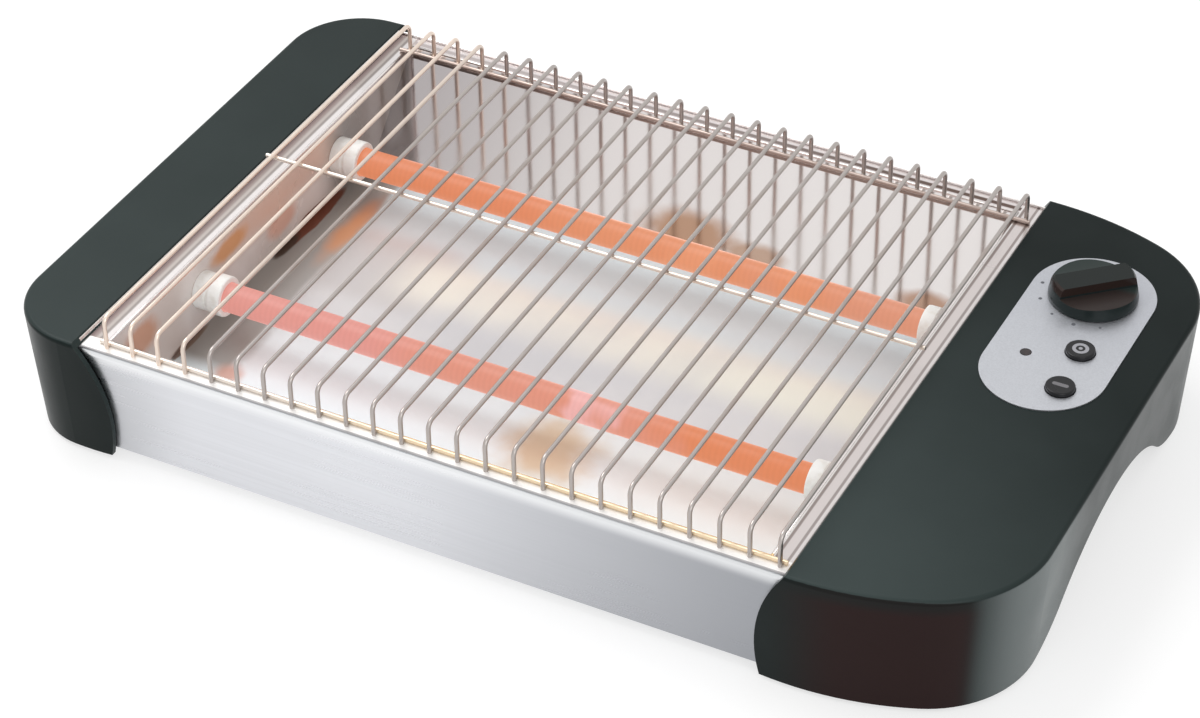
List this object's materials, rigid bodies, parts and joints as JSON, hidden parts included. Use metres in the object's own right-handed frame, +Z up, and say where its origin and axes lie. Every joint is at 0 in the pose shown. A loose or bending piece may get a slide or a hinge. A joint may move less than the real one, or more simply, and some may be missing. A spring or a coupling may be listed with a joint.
{
  "type": "flat electric toaster",
  "caption": "Flat electric toaster: wire rack over a reflector bay with glowing quartz tubes, moulded end covers, a rotary dial and push buttons.",
  "frame": {"origin": "on the table under the middle of the toaster's length and depth", "axes": "+X along the length towards the control end, +Y from the front panel to the back, +Z up"},
  "size_m": [0.4158, 0.256, 0.0675],
  "materials": {
    "cover_plastic": "fine satin grain, dark greenish charcoal",
    "panel_steel": "satin silver",
    "chassis_steel": "plain zinc-coated sheet",
    "reflector": "polished",
    "rack_wire": "bright plated wire",
    "plate_metal": "fine-grained satin",
    "knob_plastic": "satin",
    "button_plastic": "satin",
    "switch_plastic": "moulded",
    "lens": "clear, tinted red",
    "lamp_glass": "frosted",
    "board": "glass-filled laminate with solder mask",
    "relay_plastic": "moulded case",
    "capacitor": "dipped",
    "terminal_plastic": "moulded",
    "cutout_metal": "stamped case",
    "inner_plastic": "moulded, heat resistant",
    "lead_sleeve": "silicone and glass-fibre sleeve",
    "inlet_rubber": "moulded",
    "foot_rubber": "moulded",
    "screw_steel": "zinc plated",
    "quartz": "clear",
    "winding": "oxidised resistance wire, glowing orange in use",
    "ceramic": "unglazed white"
  },
  "bodies": {
    "toaster": {"left_cover": "cover_plastic", "right_cover": "cover_plastic", "front_panel": "panel_steel", "rear_panel": "panel_steel", "base_plate": "chassis_steel", "left_end_plate": "chassis_steel", "right_end_plate": "chassis_steel", "reflector_tray": "reflector", "cross_wires": "rack_wire", "rack_rods": "rack_wire", "control_plate": "plate_metal", "dial_switch": "switch_plastic", "ring_switch": "switch_plastic", "bar_switch": "switch_plastic", "indicator_lens": "lens", "indicator_lamp": "lamp_glass", "control_board": "board", "power_relay": "relay_plastic", "filter_capacitor": "capacitor", "terminal_block": "terminal_plastic", "thermal_cutout": "cutout_metal", "control_housing": "inner_plastic", "lead_guard": "inner_plastic", "front_tube_lead": "lead_sleeve", "rear_tube_lead": "lead_sleeve", "link_lead": "lead_sleeve", "cable_inlet": "inlet_rubber", "front_left_foot": "foot_rubber", "front_right_foot": "foot_rubber", "rear_left_foot": "foot_rubber", "rear_right_foot": "foot_rubber", "chassis_screws": "screw_steel", "housing_screws": "screw_steel", "board_screws": "screw_steel", "front_quartz_tube": "quartz", "rear_quartz_tube": "quartz", "front_heating_coil": "winding", "rear_heating_coil": "winding", "front_left_cap": "ceramic", "front_right_cap": "ceramic", "rear_left_cap": "ceramic", "rear_right_cap": "ceramic"},
    "dial": {"dial_knob": "knob_plastic", "dial_shaft": "switch_plastic"},
    "ring_push": {"ring_button": "button_plastic", "ring_plunger": "switch_plastic"},
    "bar_push": {"bar_button": "button_plastic", "bar_plunger": "switch_plastic"}
  },
  "joints": [
    {"name": "dial_turn", "type": "hinge", "parent": "toaster", "child": "dial", "pos_m": [0.167, 0.0739, 0.0563], "axis": [0, 0, -1], "range_deg": [0, 270]},
    {"name": "ring_button_press", "type": "slide", "parent": "toaster", "child": "ring_push", "axis": [0, 0, -1], "range_m": [0, 0.0015], "stiffness_N_per_m": 400, "springref_m": -0.001},
    {"name": "bar_button_press", "type": "slide", "parent": "toaster", "child": "bar_push", "axis": [0, 0, -1], "range_m": [0, 0.0015], "stiffness_N_per_m": 400, "springref_m": -0.001}
  ]
}
